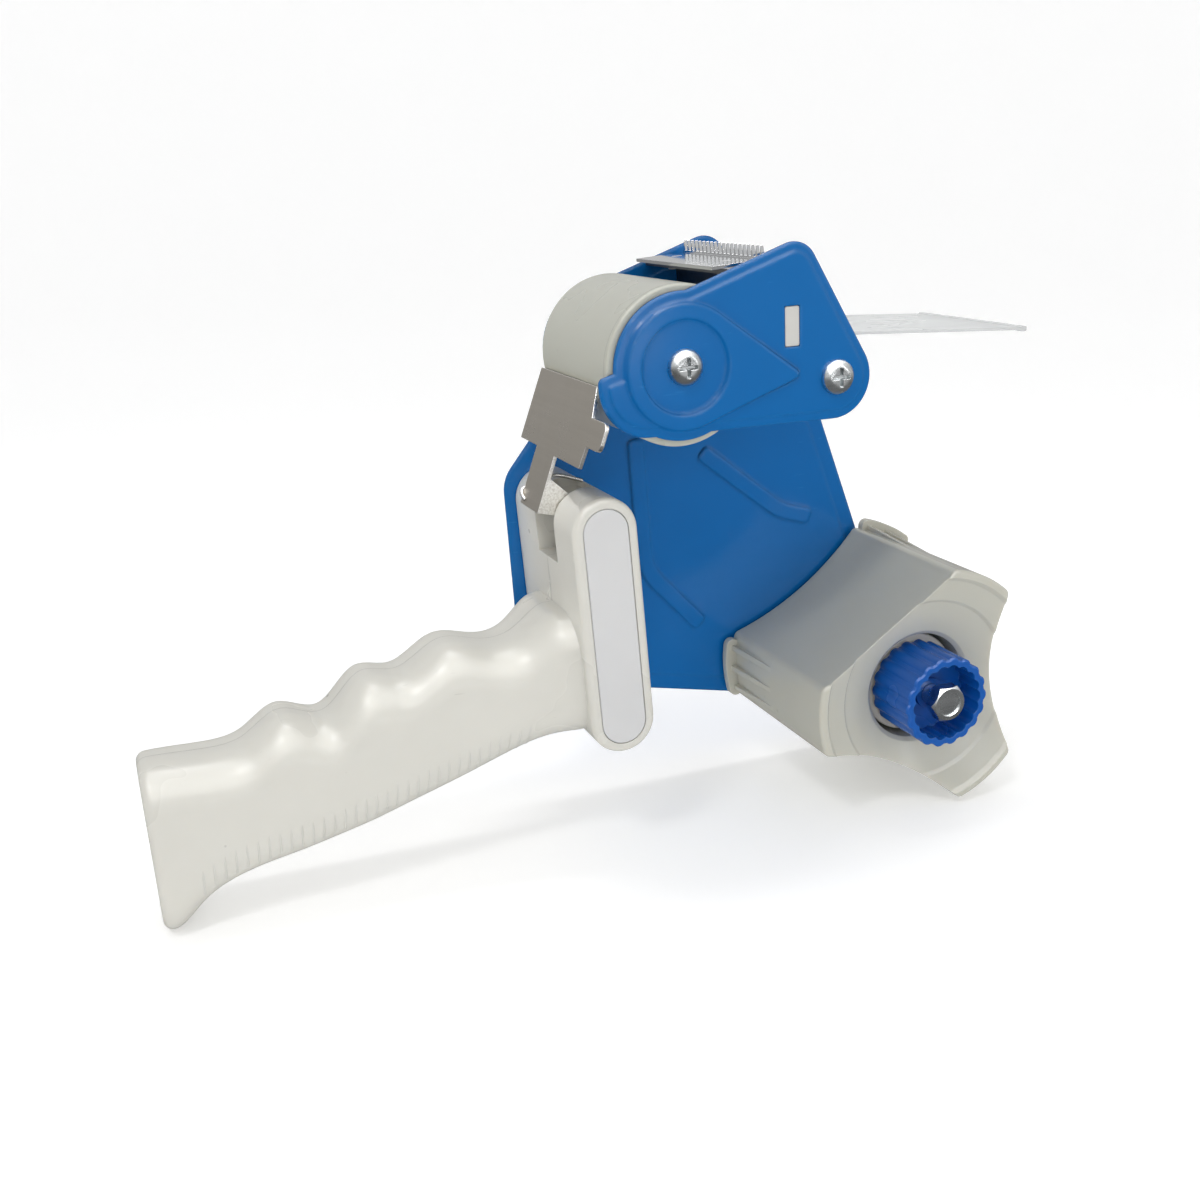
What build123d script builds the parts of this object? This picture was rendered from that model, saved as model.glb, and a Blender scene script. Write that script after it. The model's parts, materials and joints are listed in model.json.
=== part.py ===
"""Hand dispenser for 50 mm packing tape on a 76 mm core, standing on its grip and its hub.

Lengths are millimetres. +X runs from the grip to the hub, +Y from the front plate to the back plate
and +Z up. Everything is drawn about the hub axis, with depths measured from the front plate's rim
towards the back plate. At the end the whole is leant onto the grip's tip and the hub's flange, and
its origin is put on the ground under its middle.
"""
import os
from math import cos, degrees, radians, sin

from build123d import *

# Ends of the whole along the length, and its lean from the grip's own line to the ground
grip_end = -220.7
flap_end = 32.0
stand_lean = 1.15

# Side plates: pressed steel sheet with a raised panel inside a narrow rim
sheet = 1.2
panel_rise = 0.5
panel_draft = 45
press_soft = 0.4
front_rim = 2.2
back_rim = 4.8
plate_gap = 53.8
edge_round = 0.7

# Axes seen from the side, measured from the hub axis
roller_axis = (-75.2, 103.4)
post_axis = (-31.0, 96.4)
beam_centre = (-44.2, 110.8)

# Front plate outline and its pressed boss
front_corners = ((-39.9, 133.5), (-12.1, 84.6), (-98.3, 86.6), (-98.3, 102.4), (-90.0, 104.6), (-78.0, 121.0))
front_corner_r = (7.0, 11.0, 13.8, 1.6)
cheek_r = 19.0
boss_r = 16.4
boss_rise = 1.1
boss_draft = 30
boss_tail = (-44.0, 98.5)
boss_tail_r = 1.6
dimple_r = 11.7

# Back plate outline and its pressed ribs
back_corners = ((-39.9, 133.5), (-4.3, 74.6), (21.8, -1.5), (16.6, -24.7), (-108.0, 4.9), (-109.1, 68.0), (-88.0, 93.0),
                (-78.0, 121.0))
back_corner_r = (7.0, 9.0, 12.0, 11.0)
hub_end_r = 20.1
rib_width = 5.0
rib_rise = 0.9
long_rib = ((-67.6, 75.0), (-66.2, 34.0), (-48.0, 13.5))
cross_rib = ((-46.0, 68.5), (-19.5, 46.5), (-8.5, 43.0))
rib_bend_r = 18.0
rib_end_round = 1.6
rib_soft = 0.6

# Roller on its fixed post
roller_r = 20.7
roller_wall = 2.4
roller_front = 1.6
roller_back_gap = 3.2
roller_boss_r = 8.0
roller_web = 3.0
roller_round = 0.8
post_r = 5.0
post_bevel = 0.4
post_thread_r = 2.5
running_gap = 0.05

# Pan head screws of the plates and of the grip
screw_head_r = 4.7
screw_head = 2.6
screw_flat_r = 2.1
screw_shoulder = (4.0, 1.87)
screw_edge = 0.4
screw_r = 2.5
post_screw_length = 12.0
grip_screw_length = 20.0
recess_arm = 1.1
recess_span = 5.2
recess_depth = 1.6
recess_draft = 8

# Spacer post at the back corner
spacer_r = 4.5

# Tape guide beam with its tabs, and the clear flap that presses the tape down
beam_width = 8.0
beam_height = 13.0
beam_round = 1.6
tab_width = 4.1
tab_height = 10.2
tab_gap = 0.15
tab_round = 0.5
tab_inset = 0.1
flap_thickness = 0.8
flap_side_gap = 1.5
flap_root = (-44.4, 108.3)
flap_drop = 4.0
flap_lip = 2.0
flap_lip_rise = 0.7
flap_lip_round = 0.4
groove_depth = 5.0
groove_gap = 0.05

# Cutter blade on its bracket
blade_rear = (-65.2, 126.4)
blade_rise = 3.0
blade_depth = 15.6
blade_sheet = 0.9
blade_front = 3.0
blade_length = 49.0
tooth_count = 20
tooth_height = 3.4
tooth_root = 0.5
tooth_share = 0.46
bracket_sheet = 1.5
bracket_inset = 3.5
bracket_drop = 9.0
bracket_tab = 5.0
bracket_leg_inset = 1.2
rivet_r = 1.5
rivet_head_r = 2.6
rivet_head = 0.9
rivet_inset = 9.0
rivet_setback = 8.6

# Grip: two moulded halves with the end block between the plates
block_front = 5.3
block_centre = (-95.5, 34.7)
block_width = 18.4
block_height = 72.4
block_lean = 2.5
block_round = 1.7
cover_margin = 2.7
cover_thickness = 1.4
cover_gap = 0.15
cover_bevel = 0.2
grip_corner_r = 11.5
grip_end_round = 2.6
# Grip sections from the free end to the block: place, bottom, top, width
grip_sections = (
    (grip_end, -32.6, 14.0, 27.0),
    (grip_end + 4.2, -33.2, 14.2, 28.0),
    (grip_end + 10.7, -27.6, 13.9, 28.5),
    (grip_end + 17.7, -23.3, 13.5, 29.0),
    (-193.0, -20.3, 15.2, 29.5),
    (-183.0, -18.5, 20.7, 30.0),
    (-172.5, -16.4, 18.0, 30.0),
    (-160.5, -13.6, 27.2, 30.0),
    (-152.0, -11.1, 26.2, 30.0),
    (-138.5, -7.1, 32.5, 30.5),
    (-128.0, -3.5, 30.6, 31.5),
    (-117.0, 0.3, 31.8, 34.0),
    (-108.0, 2.2, 37.5, 39.0),
    (-100.0, 3.4, 47.0, 43.0),
)
grip_screw_axes = ((-203.0, -5.0), (-146.0, 8.0))
block_screw_axes = ((-96.2, 48.0), (-94.5, 14.0))
grip_counterbore = 7.0
head_gap = 0.4

# Steel plate that holds the tape's end on the roller, and its hinge in the block
retainer_angle = 190.3
retainer_gap = 0.3
retainer_lean = 21.0
retainer_sheet = 1.0
retainer_outline = ((6.0, 0.0), (49.0, 0.0), (49.8, 20.5), (35.8, 20.5), (35.8, 37.0), (21.2, 37.0), (21.2, 21.0),
                    (2.6, 21.0), (2.0, 15.2), (-7.0, 15.2), (-7.0, 7.8), (3.4, 7.8), (4.6, 4.0))
lug_r = 2.0
stem_front = 21.2
stem_back = 35.8
ear_top = 27.0
stem_length = 37.0
hinge_down = 33.0
hinge_in = 8.0
hinge_r = 1.25
ear_r = 2.8
pocket_gap = 0.6
pocket_floor = 51.0
pocket_clear = 5.4
pin_grip = 5.0
pin_end_gap = 0.5
ear_toe = 1.0
spring_wire_r = 0.45
spring_coil_r = 2.3
spring_coil_length = 7.0
spring_turns = 5
wire_sides = 8

# Hub with three lobes that grip the tape's core
hub_r = 37.8
lobe_count = 3
lobe_angle = 182.9
lobe_half = 16.5
flank_r = 23.7
hub_front = -3.2
hub_back = 52.4
lobe_round = 2.2
land_width = 3.4
land_step = 1.2
crease_r = 27.2
crease_depth = 0.1
crease_step = 0.9
dish_depth = 4.8
hub_edge_round = 1.1
recess_r = 16.3
recess_floor = 21.0
hub_floor = 4.0
hub_wall = 2.6
hub_flange = 2.5
hub_flange_rise = 3.4
hub_flange_root = 18.9
hub_flange_inset = 1.6
spoke_width = 2.1
spoke_middle = 18.9
grip_rib_rise = 1.7
grip_rib_width = 1.6
grip_rib_start = 16.0
grip_rib_root = 0.8
grip_rib_step = 10.0
sleeve_r = 6.0
sleeve_seat = 1.0
hub_boss_r = 9.5
hub_boss_back = 48.3

# Hub bolt, nuts and the brake that the knob loads
bolt_r = 3.0
bolt_head_front = -11.6
bolt_head = 4.0
bolt_across = 10.0
bolt_bevel = 0.5
bolt_crown_r = 5.8
bolt_crown = 1.0
bolt_dish = 0.5
bolt_dish_r = 3.6
bolt_tail = 62.6
nut_thickness = 5.0
washer_thickness = 1.2
washer_r = 6.2
slide_gap = 0.08
knob_front = -10.2
knob_back = 8.0
knob_r = 13.0
flute_count = 18
flute_r = 2.2
flute_inset = 1.5
knob_wall = 2.2
knob_cup = 9.7
knob_bevel = 0.45
collar_r = 4.6
collar_rise = 1.2
thrust_r = 12.8
thrust_thickness = 1.2
cup_r = 15.2
cup_flange = 2.0
cup_tube_r = 10.4
cup_tube_wall = 2.0
cup_tube_length = 5.6
cup_round = 0.5
brake_ring_thickness = 1.4
brake_ring_inner = 10.6
brake_ring_gap = 1.0
brake_wire_r = 0.7
brake_coil_r = 12.2
brake_turns = 3

# Places that follow from the sizes
roller_length = plate_gap - roller_front - roller_back_gap
panel_inner = sheet - panel_rise
panel_outer = -panel_rise
back_outer = plate_gap + sheet
grip_middle = (block_front + plate_gap) / 2
block_length = plate_gap - block_front
lobe_step = 360 / lobe_count


def side(depth, point=(0, 0)):
    """Plane that faces the front at a depth, over a point measured from the hub axis."""
    origin = (point[0], depth, point[1])
    return Plane(origin=origin, x_dir=(1, 0, 0), z_dir=(0, -1, 0))


def inward(depth, point=(0, 0)):
    """Plane over the same point that faces the back, for round pieces that grow with the depth."""
    origin = (point[0], depth, point[1])
    return Plane(origin=origin, x_dir=(1, 0, 0), z_dir=(0, 1, 0))


def polar(angle, radius, centre=(0, 0)):
    """Point at an angle and a radius about a centre, in the side view."""
    return (centre[0] + radius * cos(radians(angle)), centre[1] + radius * sin(radians(angle)))


def ring_part(point, depth, length, outer_r, inner_r):
    """Plain ring or tube about an axis across the dispenser."""
    with BuildPart(inward(depth, point)) as ring:
        Cylinder(outer_r, length, align=(Align.CENTER, Align.CENTER, Align.MIN))
        Cylinder(inner_r, length, align=(Align.CENTER, Align.CENTER, Align.MIN), mode=Mode.SUBTRACT)
    return ring


def pan_screw(length):
    """Pan head screw with a cross recess, its head standing on the plane and its shank below."""
    with BuildPart() as screw:
        with BuildSketch(Plane.XZ):
            with BuildLine():
                Line((0, screw_head), (screw_flat_r, screw_head))
                Spline((screw_flat_r, screw_head), screw_shoulder, (screw_head_r, screw_edge),
                       tangents=((1, 0), (0, -1)))
                Polyline((screw_head_r, screw_edge), (screw_head_r, 0), (screw_r, 0), (screw_r, -length),
                         (0, -length), (0, screw_head))
            make_face()
        revolve(axis=Axis.Z)
        with BuildSketch(Plane.XY.offset(screw_head)):
            Rectangle(recess_span, recess_arm)
            Rectangle(recess_arm, recess_span)
        extrude(amount=-recess_depth, taper=recess_draft, mode=Mode.SUBTRACT)
    return screw.part


def screw_group(planes, length):
    """The same screw seated on several planes."""
    screw = pan_screw(length)
    with BuildPart() as group:
        with Locations(*[plane.location for plane in planes]):
            add(screw)
    return group


# Outlines of the side plates


def plate_outline(corners, radii, rounds):
    """Plate outline: rounded corners, with the round cheek about the roller blended in."""
    with BuildSketch() as outline:
        with BuildLine():
            Polyline(*corners, close=True)
        make_face()
        for corner, radius in rounds:
            fillet(outline.vertices().sort_by_distance(Vector(*corner))[0], radius)
        for centre, radius in radii:
            with Locations(centre):
                Circle(radius)
    return outline.sketch


def front_outline():
    return plate_outline(front_corners, ((roller_axis, cheek_r),), list(zip(front_corners, front_corner_r)))


def back_outline():
    named = (back_corners[0], back_corners[1], back_corners[4], back_corners[5])
    return plate_outline(back_corners, ((roller_axis, cheek_r), ((0, 0), hub_end_r)), list(zip(named, back_corner_r)))


def inset(sketch, margin):
    """The same outline moved in by a margin."""
    with BuildSketch() as smaller:
        add(sketch)
        offset(amount=-margin, kind=Kind.TANGENT)
    return smaller.sketch


def boss_outline(margin=0.0):
    """Teardrop boss about the roller axis."""
    with BuildSketch() as teardrop:
        with Locations(roller_axis):
            Circle(boss_r - margin)
        with Locations(boss_tail):
            Circle(boss_tail_r)
        make_hull()
        with Locations(roller_axis):
            Circle(dimple_r + margin, mode=Mode.SUBTRACT)
    return teardrop.sketch


# Front plate

front_shape = front_outline()
front_panel = inset(front_shape, front_rim)
front_hollow = inset(front_shape, front_rim + panel_rise)
boss_shape = boss_outline()
boss_hollow = boss_outline(margin=sheet / 2)

with BuildPart() as front_plate:
    with BuildSketch(side(0)):
        add(front_shape)
    extrude(amount=-sheet)
    fillet(front_plate.faces().sort_by(Axis.Y)[0].outer_wire().edges(), edge_round)
    with BuildSketch(side(0)):
        add(front_panel)
    extrude(amount=panel_rise, taper=panel_draft)
    with BuildSketch(side(sheet)):
        add(front_hollow)
    extrude(amount=panel_rise, mode=Mode.SUBTRACT)
    with BuildSketch(side(panel_outer)):
        add(boss_shape)
    extrude(amount=boss_rise, taper=boss_draft)
    with BuildSketch(side(panel_inner)):
        add(boss_hollow)
    extrude(amount=boss_rise, mode=Mode.SUBTRACT)
    with BuildSketch(side(sheet)):
        with Locations(roller_axis, post_axis):
            Circle(screw_r + slide_gap)
        with Locations(beam_centre):
            Rectangle(tab_width + 2 * tab_gap, tab_height + 2 * tab_gap)
    extrude(amount=sheet + panel_rise, mode=Mode.SUBTRACT)

# Back plate


def rib_trace(route, width):
    """Strip along a rib's route, drawn in the side view."""
    with BuildSketch() as strip:
        with BuildLine():
            FilletPolyline(*route, radius=rib_bend_r)
        trace(line_width=width)
        for end in (route[0], route[-1]):
            fillet(strip.vertices().sort_by_distance(Vector(*end))[:2], rib_end_round)
    return strip.sketch


back_shape = back_outline()
back_panel = inset(back_shape, back_rim)
back_hollow = inset(back_shape, back_rim + panel_rise)
rib_shapes = [rib_trace(route, rib_width) for route in (long_rib, cross_rib)]
rib_hollows = [rib_trace(route, rib_width - sheet) for route in (long_rib, cross_rib)]

with BuildPart() as back_plate:
    with BuildSketch(side(plate_gap + panel_rise)):
        add(back_shape)
    extrude(amount=-sheet)
    fillet(back_plate.faces().sort_by(Axis.Y)[-1].outer_wire().edges(), edge_round)
    with BuildSketch(side(plate_gap + panel_rise)):
        add(back_panel)
    extrude(amount=panel_rise)
    fillet(back_plate.faces().sort_by(Axis.Y)[0].outer_wire().edges(), press_soft)
    with BuildSketch(side(back_outer + panel_rise)):
        add(back_hollow)
    extrude(amount=panel_rise, mode=Mode.SUBTRACT)
    with BuildSketch(side(plate_gap)):
        add(rib_shapes)
    extrude(amount=rib_rise)
    fillet(back_plate.faces().filter_by(Plane.XZ).sort_by(Axis.Y)[:2].edges(), rib_soft)
    with BuildSketch(side(back_outer)):
        add(rib_hollows)
    extrude(amount=rib_rise, mode=Mode.SUBTRACT)
    with BuildSketch(side(back_outer + panel_rise)):
        with Locations(roller_axis, post_axis, *block_screw_axes):
            Circle(screw_r + slide_gap)
        with Locations((0, 0)):
            Circle(bolt_r + slide_gap)
        with Locations(beam_centre):
            Rectangle(tab_width + 2 * tab_gap, tab_height + 2 * tab_gap)
    extrude(amount=sheet + panel_rise + rib_rise, mode=Mode.SUBTRACT)

# Roller and the posts that hold the plates apart

with BuildPart(inward(roller_front, roller_axis)) as roller:
    Cylinder(roller_r, roller_length, align=(Align.CENTER, Align.CENTER, Align.MIN))
    fillet(roller.edges().filter_by(GeomType.CIRCLE), roller_round)
    for end in (roller.faces().sort_by(Axis.Y)[0], roller.faces().sort_by(Axis.Y)[-1]):
        with BuildSketch(Plane(end)):
            Circle(roller_r - roller_wall)
            Circle(roller_boss_r, mode=Mode.SUBTRACT)
        extrude(amount=-(roller_length - roller_web) / 2, mode=Mode.SUBTRACT)
    Cylinder(post_r + running_gap, roller_length, align=(Align.CENTER, Align.CENTER, Align.MIN), mode=Mode.SUBTRACT)

post_length = plate_gap - panel_inner

with BuildPart(inward(panel_inner, roller_axis)) as roller_post:
    Cylinder(post_r, post_length, align=(Align.CENTER, Align.CENTER, Align.MIN))
    chamfer(roller_post.edges().filter_by(GeomType.CIRCLE), post_bevel)
    for start in (0, post_length - post_screw_length):
        with Locations((0, 0, start)):
            Cylinder(post_thread_r, post_screw_length, align=(Align.CENTER, Align.CENTER, Align.MIN),
                     mode=Mode.SUBTRACT)

with BuildPart(inward(panel_inner, post_axis)) as spacer_post:
    Cylinder(spacer_r, post_length, align=(Align.CENTER, Align.CENTER, Align.MIN))
    chamfer(spacer_post.edges().filter_by(GeomType.CIRCLE), post_bevel)
    for start in (0, post_length - post_screw_length):
        with Locations((0, 0, start)):
            Cylinder(post_thread_r, post_screw_length, align=(Align.CENTER, Align.CENTER, Align.MIN),
                     mode=Mode.SUBTRACT)

front_screws = screw_group([side(panel_outer, roller_axis), side(panel_outer, post_axis)], post_screw_length)
back_screws = screw_group([inward(back_outer, roller_axis), inward(back_outer, post_axis)], post_screw_length)
block_screws = screw_group([inward(back_outer, axis) for axis in block_screw_axes], grip_screw_length)

# Tape guide beam and the clear flap

flap_plane = Plane(origin=(flap_root[0], 0, flap_root[1]),
                   x_dir=(cos(radians(-flap_drop)), 0, sin(radians(-flap_drop))), z_dir=(0, -1, 0))
flap_length = (flap_end - flap_root[0]) / cos(radians(flap_drop))

with BuildPart() as tape_guide_beam:
    with BuildSketch(side(panel_inner, beam_centre)):
        RectangleRounded(beam_width, beam_height, beam_round)
    extrude(amount=-post_length)
    with BuildSketch(side(panel_outer + tab_inset, beam_centre)):
        RectangleRounded(tab_width, tab_height, tab_round)
    extrude(amount=-(back_outer - panel_outer - 2 * tab_inset))
    with BuildSketch(flap_plane.offset(-panel_inner)):
        with Locations((beam_width / 2 - groove_depth, 0)):
            Rectangle(beam_width, flap_thickness + 2 * groove_gap, align=(Align.MIN, Align.CENTER))
    extrude(amount=-post_length, mode=Mode.SUBTRACT)

flap_start = beam_width / 2 - groove_depth + groove_gap

with BuildPart() as wiper_flap:
    with BuildSketch(flap_plane.offset(-(panel_inner + flap_side_gap))):
        with Locations((flap_start, 0)):
            Rectangle(flap_length - flap_start, flap_thickness, align=(Align.MIN, Align.CENTER))
        with Locations((flap_length, 0)):
            RectangleRounded(flap_lip, flap_thickness + flap_lip_rise, flap_lip_round, align=(Align.MAX, Align.CENTER))
    extrude(amount=-(post_length - 2 * flap_side_gap))

# Cutter blade, its bracket and rivets

blade_plane = Plane(origin=(blade_rear[0], 0, blade_rear[1]),
                    x_dir=(cos(radians(blade_rise)), 0, sin(radians(blade_rise))), z_dir=(0, -1, 0))
tooth_pitch = blade_length / tooth_count
rivet_depths = (blade_front + rivet_inset, blade_front + blade_length - rivet_inset)


def blade_up(x, depth, height):
    """Plane that faces up over the blade, at a place along its depth and across the dispenser."""
    base = blade_plane.from_local_coords(Vector(x, height, -depth))
    return Plane(origin=base, x_dir=blade_plane.x_dir, z_dir=blade_plane.y_dir)


with BuildPart() as cutter_blade:
    with BuildSketch(blade_plane.offset(-blade_front)):
        Rectangle(blade_depth, blade_sheet, align=(Align.MIN, Align.MIN))
    extrude(amount=-blade_length)
    teeth_plane = Plane(origin=blade_plane.from_local_coords(Vector(blade_depth, 0, -blade_front)),
                        x_dir=(0, 1, 0), z_dir=-blade_plane.x_dir)
    with BuildSketch(teeth_plane):
        with BuildLine():
            root = blade_sheet + tooth_root
            outline = [(0, 0), (0, root)]
            for tooth in range(tooth_count):
                for share, height in ((-tooth_share / 2, root), (0, blade_sheet + tooth_height), (tooth_share / 2, root)):
                    outline.append(((tooth + 0.5 + share) * tooth_pitch, height))
            outline += [(blade_length, root), (blade_length, 0)]
            Polyline(*[(x, -up) for x, up in outline], close=True)
        make_face()
    extrude(amount=blade_sheet)
    with Locations(*[blade_up(rivet_setback, depth, 0).location for depth in rivet_depths]):
        Cylinder(rivet_r, 2 * blade_sheet, mode=Mode.SUBTRACT)

leg_outer = blade_depth - bracket_leg_inset
leg_inner = leg_outer - bracket_sheet

with BuildPart() as blade_bracket:
    with BuildSketch(blade_plane.offset(-sheet)):
        with BuildLine():
            Polyline((bracket_inset, 0), (leg_outer, 0), (leg_outer, -bracket_drop), (leg_inner, -bracket_drop),
                     (leg_inner, -bracket_sheet), (bracket_inset, -bracket_sheet), close=True)
        make_face()
    extrude(amount=-(plate_gap - sheet))
    with BuildSketch(blade_plane.offset(-panel_inner)):
        with Locations((leg_inner, -bracket_drop)):
            Rectangle(bracket_sheet, bracket_tab, align=(Align.MIN, Align.MIN))
    extrude(amount=-post_length)
    with Locations(*[blade_up(rivet_setback, depth, 0).location for depth in rivet_depths]):
        Cylinder(rivet_r, 4 * bracket_sheet, mode=Mode.SUBTRACT)

with BuildPart() as blade_rivets:
    with Locations(*[blade_up(rivet_setback, depth, blade_sheet).location for depth in rivet_depths]):
        Cylinder(rivet_r, blade_sheet + bracket_sheet, align=(Align.CENTER, Align.CENTER, Align.MAX))
    with Locations(*[blade_up(rivet_setback, depth, -bracket_sheet).location for depth in rivet_depths]):
        Cylinder(rivet_head_r, rivet_head, align=(Align.CENTER, Align.CENTER, Align.MAX))

# Retainer plate's own plane: x is the depth, y runs down the plate from its top edge

retainer_top = polar(retainer_angle, roller_r + retainer_gap, roller_axis)
lean = radians(retainer_lean)
outward = (-cos(lean), sin(lean))
retainer_plane = Plane(origin=(retainer_top[0] + outward[0] * retainer_sheet, 0,
                               retainer_top[1] + outward[1] * retainer_sheet),
                       x_dir=(0, 1, 0), z_dir=(outward[0], 0, outward[1]))


def on_retainer(down, inside):
    """Point in the side view, down the plate from its top edge and in from its outer face."""
    return (retainer_top[0] + outward[0] * (retainer_sheet - inside) - sin(lean) * down,
            retainer_top[1] + outward[1] * (retainer_sheet - inside) - cos(lean) * down)


hinge_axis = on_retainer(hinge_down, hinge_in)
pocket_end = hinge_axis[0] + ear_r + pocket_clear

# Grip body, later parted at its middle plane

with BuildPart() as grip_body:
    for place, bottom, top, width in grip_sections:
        section = Plane(origin=(place, grip_middle, (bottom + top) / 2),
                        x_dir=(0, 1, 0), z_dir=(1, 0, 0))
        with BuildSketch(section):
            RectangleRounded(width, top - bottom, grip_corner_r)
    loft()
    fillet(grip_body.faces().sort_by(Axis.X)[0].edges(), grip_end_round)
    with BuildSketch(side(block_front, block_centre)):
        SlotOverall(block_height, block_width, rotation=90 + block_lean)
    extrude(amount=-block_length)
    fillet(grip_body.faces().sort_by(Axis.Y)[0].edges(), block_round)
    with BuildSketch(side(block_front, block_centre)):
        SlotOverall(block_height - 2 * cover_margin, block_width - 2 * cover_margin, rotation=90 + block_lean)
    extrude(amount=-cover_thickness, mode=Mode.SUBTRACT)
    pocket_left = block_centre[0] - block_width
    with BuildSketch(side(stem_front - pocket_gap)):
        with BuildLine():
            Polyline((pocket_left, pocket_floor), (pocket_end, pocket_floor), (pocket_end, pocket_floor + block_height),
                     (pocket_left, pocket_floor + block_height), close=True)
        make_face()
    extrude(amount=-(stem_back - stem_front + 2 * pocket_gap), mode=Mode.SUBTRACT)
    with BuildSketch(side(stem_front - pocket_gap - pin_grip, hinge_axis)):
        Circle(hinge_r)
    extrude(amount=-(stem_back - stem_front + 2 * pocket_gap + 2 * pin_grip), mode=Mode.SUBTRACT)
    with Locations(*[inward(plate_gap, axis).location for axis in block_screw_axes]):
        Cylinder(screw_r, 2 * grip_screw_length, mode=Mode.SUBTRACT)

middle_plane = side(grip_middle)

with BuildPart() as grip_front_half:
    add(grip_body.part)
    split(bisect_by=middle_plane, keep=Keep.TOP)
    with Locations(*[inward(grip_middle, axis).location for axis in grip_screw_axes]):
        Cylinder(screw_r, 2 * grip_counterbore, mode=Mode.SUBTRACT)

with BuildPart() as grip_back_half:
    add(grip_body.part)
    split(bisect_by=middle_plane, keep=Keep.BOTTOM)
    with Locations(*[inward(grip_middle + grip_counterbore, axis).location for axis in grip_screw_axes]):
        Cylinder(screw_head_r + head_gap, 2 * grip_counterbore, align=(Align.CENTER, Align.CENTER, Align.MIN),
                 mode=Mode.SUBTRACT)
        Cylinder(screw_r + slide_gap, 4 * grip_counterbore, mode=Mode.SUBTRACT)

grip_screws = screw_group([inward(grip_middle + grip_counterbore, axis) for axis in grip_screw_axes],
                          2 * grip_counterbore)

with BuildPart() as grip_cover:
    with BuildSketch(side(block_front, block_centre)):
        SlotOverall(block_height - 2 * cover_margin - 2 * cover_gap, block_width - 2 * cover_margin - 2 * cover_gap,
                    rotation=90 + block_lean)
    extrude(amount=-cover_thickness)
    chamfer(grip_cover.faces().sort_by(Axis.Y)[0].edges(), cover_bevel)

# Retainer plate with its ears, hinge pin and spring

with BuildSketch() as retainer_shape:
    with BuildLine():
        Polyline(*retainer_outline, close=True)
    make_face()
    for corner in (retainer_outline[9], retainer_outline[10]):
        fillet(retainer_shape.vertices().sort_by_distance(Vector(*corner))[0], lug_r)

with BuildPart() as retainer_plate:
    with BuildSketch(retainer_plane):
        add(retainer_shape.sketch)
    extrude(amount=-retainer_sheet)
    for ear_front in (stem_front, stem_back - retainer_sheet):
        with BuildSketch(side(ear_front)):
            with BuildLine():
                Polyline(on_retainer(ear_top, retainer_sheet / 2), on_retainer(stem_length, retainer_sheet / 2),
                         on_retainer(stem_length - ear_toe, hinge_in), on_retainer(hinge_down - ear_r, hinge_in), close=True)
            make_face()
            with Locations(hinge_axis):
                Circle(ear_r)
                Circle(hinge_r + running_gap, mode=Mode.SUBTRACT)
        extrude(amount=-retainer_sheet)

pin_front = stem_front - pocket_gap - pin_grip + pin_end_gap
pin_length = stem_back - stem_front + 2 * (pocket_gap + pin_grip - pin_end_gap)

with BuildPart(inward(pin_front, hinge_axis)) as hinge_pin:
    Cylinder(hinge_r, pin_length, align=(Align.CENTER, Align.CENTER, Align.MIN))

coil_front = (stem_front + stem_back - spring_coil_length) / 2

with BuildPart() as retainer_spring:
    with BuildLine():
        coil = Helix(spring_coil_length / spring_turns, spring_coil_length, spring_coil_r,
                     center=inward(coil_front, hinge_axis).origin, direction=(0, 1, 0))
    with BuildSketch(Plane(origin=coil @ 0, z_dir=coil % 0)):
        RegularPolygon(spring_wire_r, wire_sides)
    sweep(path=coil)

# Hub


def lobed(margin=0.0):
    """Outline of three lobes with hollow flanks between them, moved in by a margin."""
    radius = hub_r - margin
    half = lobe_half - degrees(margin / hub_r)
    with BuildSketch() as outline:
        with BuildLine():
            for lobe in range(lobe_count):
                middle = lobe_angle + lobe_step * lobe
                start = polar(middle - half, radius)
                end = polar(middle + half, radius)
                following = polar(middle + lobe_step - half, radius)
                ThreePointArc(start, polar(middle, radius), end)
                ThreePointArc(end, polar(middle + lobe_step / 2, flank_r - margin), following)
        make_face()
        fillet(outline.vertices(), lobe_round)
    return outline.sketch


def flanges():
    """Sectors that stop the core at the hub's back, one on each lobe."""
    rim_r = hub_r + hub_flange_rise
    half = lobe_half - hub_flange_inset
    with BuildSketch() as outline:
        for lobe in range(lobe_count):
            middle = lobe_angle + lobe_step * lobe
            with BuildLine():
                Polyline(polar(middle - half, rim_r), polar(middle, hub_flange_root), polar(middle + half, rim_r))
                ThreePointArc(polar(middle + half, rim_r), polar(middle, rim_r), polar(middle - half, rim_r))
            make_face()
        fillet([corner for corner in outline.vertices() if Vector(corner.X, corner.Y).length > hub_r], lobe_round)
    return outline.sketch


hub_shape = lobed()
flange_shape = flanges()
hub_inside = lobed(margin=hub_wall)
hub_plane = Plane(origin=(0, 0, 0), x_dir=(1, 0, 0), z_dir=(0, 0, 1))
hub_line = Axis((0, 0, 0), (0, 1, 0))

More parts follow.
